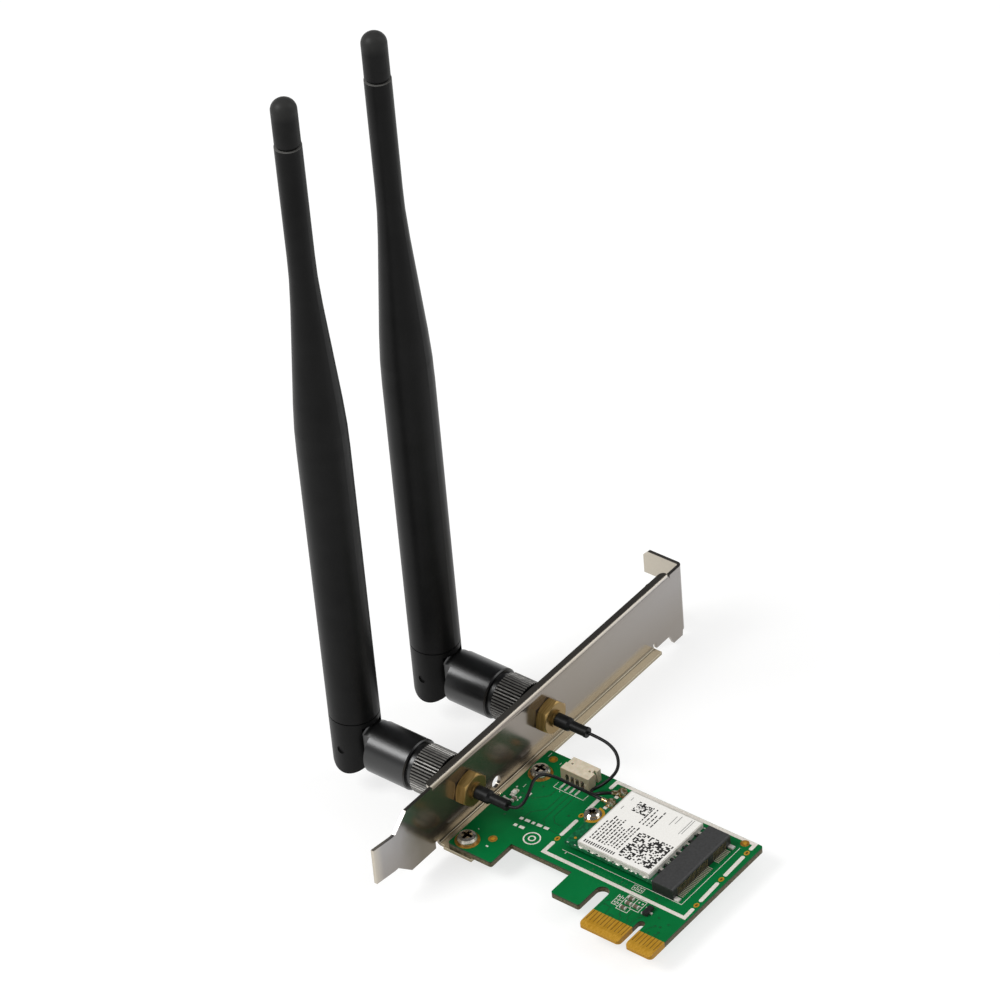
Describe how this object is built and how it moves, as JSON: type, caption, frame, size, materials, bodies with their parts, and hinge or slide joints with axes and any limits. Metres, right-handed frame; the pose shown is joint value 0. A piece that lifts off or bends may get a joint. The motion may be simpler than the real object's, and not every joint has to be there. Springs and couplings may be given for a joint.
{
  "type": "wireless network card",
  "caption": "Plug-in wireless network card: folded steel bracket, short edge-connector board with a socketed radio module, coaxial leads and hinged rod antennas.",
  "frame": {"origin": "centre of the key notch at the board's insertion edge, in the middle of the board's thickness", "axes": "+X from the bracket along the board, +Y from the bracket's tongue to its screw tab, +Z out of the component side, along the upright antennas"},
  "size_m": [0.1046, 0.12, 0.1942],
  "materials": {
    "bracket_steel": "nickel plated, half bright",
    "board_mask": "green solder mask",
    "gold": "gold plated",
    "screw_steel": "nickel plated",
    "module_mask": "green solder mask",
    "shield_steel": "tin plated",
    "label_paper": "matt white",
    "chip_plastic": "matt black",
    "socket_plastic": "matt black",
    "tin": "tin plated",
    "header_plastic": "matt ivory",
    "light_plastic": "milky",
    "jack_metal": "gold plated",
    "core_plastic": "white",
    "sleeve_rubber": "matt black",
    "plug_metal": "bright",
    "lead_rubber": "matt black",
    "nut_metal": "black",
    "barrel_plastic": "black",
    "rod_plastic": "matt black",
    "copper": "bare copper"
  },
  "bodies": {
    "card": {"bracket": "bracket_steel", "board": "board_mask", "edge_contacts": "gold", "board_pads": "gold", "board_screws": "screw_steel", "module_board": "module_mask", "module_shield": "shield_steel", "module_label": "label_paper", "radio_chips": "chip_plastic", "module_chips": "chip_plastic", "module_receptacles": "gold", "module_standoff": "gold", "module_screw": "screw_steel", "socket_housing": "socket_plastic", "socket_contacts": "gold", "socket_hold_downs": "tin", "header_housing": "header_plastic", "header_pins": "tin", "status_light": "light_plastic", "chip_bodies": "chip_plastic", "chip_ends": "tin", "regulator": "chip_plastic", "regulator_legs": "tin", "jack_1_body": "jack_metal", "jack_1_insulator": "core_plastic", "jack_1_pin": "gold", "jack_1_washer": "jack_metal", "jack_1_nut": "jack_metal", "jack_1_sleeve": "sleeve_rubber", "jack_2_body": "jack_metal", "jack_2_insulator": "core_plastic", "jack_2_pin": "gold", "jack_2_washer": "jack_metal", "jack_2_nut": "jack_metal", "jack_2_sleeve": "sleeve_rubber", "lead_plug_1": "plug_metal", "lead_1": "lead_rubber", "lead_plug_2": "plug_metal", "lead_2": "lead_rubber"},
    "coupling_nut_1": {"antenna_1_nut": "nut_metal"},
    "barrel_1": {"antenna_1_barrel": "barrel_plastic", "antenna_1_plug": "jack_metal", "antenna_1_insulator": "core_plastic", "antenna_1_contact": "gold"},
    "rod_1": {"antenna_1_fork": "rod_plastic", "antenna_1_hinge_pin": "screw_steel", "antenna_1_rod": "rod_plastic", "antenna_1_cap": "rod_plastic", "antenna_1_radiator": "copper"},
    "coupling_nut_2": {"antenna_2_nut": "nut_metal"},
    "barrel_2": {"antenna_2_barrel": "barrel_plastic", "antenna_2_plug": "jack_metal", "antenna_2_insulator": "core_plastic", "antenna_2_contact": "gold"},
    "rod_2": {"antenna_2_fork": "rod_plastic", "antenna_2_hinge_pin": "screw_steel", "antenna_2_rod": "rod_plastic", "antenna_2_cap": "rod_plastic", "antenna_2_radiator": "copper"}
  },
  "joints": [
    {"name": "antenna_1_coupling", "type": "hinge", "parent": "card", "child": "coupling_nut_1", "pos_m": [-0.0655, 0.0164, 0.0085], "axis": [1, 0, 0], "continuous": true},
    {"name": "antenna_1_swivel", "type": "hinge", "parent": "card", "child": "barrel_1", "pos_m": [-0.0785, 0.0164, 0.0085], "axis": [1, 0, 0], "range_deg": [0, 180]},
    {"name": "antenna_1_tilt", "type": "hinge", "parent": "barrel_1", "child": "rod_1", "pos_m": [-0.09016, 0.0164, 0.0085], "axis": [0, -1, 0], "range_deg": [0, 90]},
    {"name": "antenna_2_coupling", "type": "hinge", "parent": "card", "child": "coupling_nut_2", "pos_m": [-0.0655, 0.0474, 0.0085], "axis": [1, 0, 0], "continuous": true},
    {"name": "antenna_2_swivel", "type": "hinge", "parent": "card", "child": "barrel_2", "pos_m": [-0.0785, 0.0474, 0.0085], "axis": [-1, 0, 0], "range_deg": [0, 180]},
    {"name": "antenna_2_tilt", "type": "hinge", "parent": "barrel_2", "child": "rod_2", "pos_m": [-0.09016, 0.0474, 0.0085], "axis": [0, -1, 0], "range_deg": [0, 90]}
  ]
}
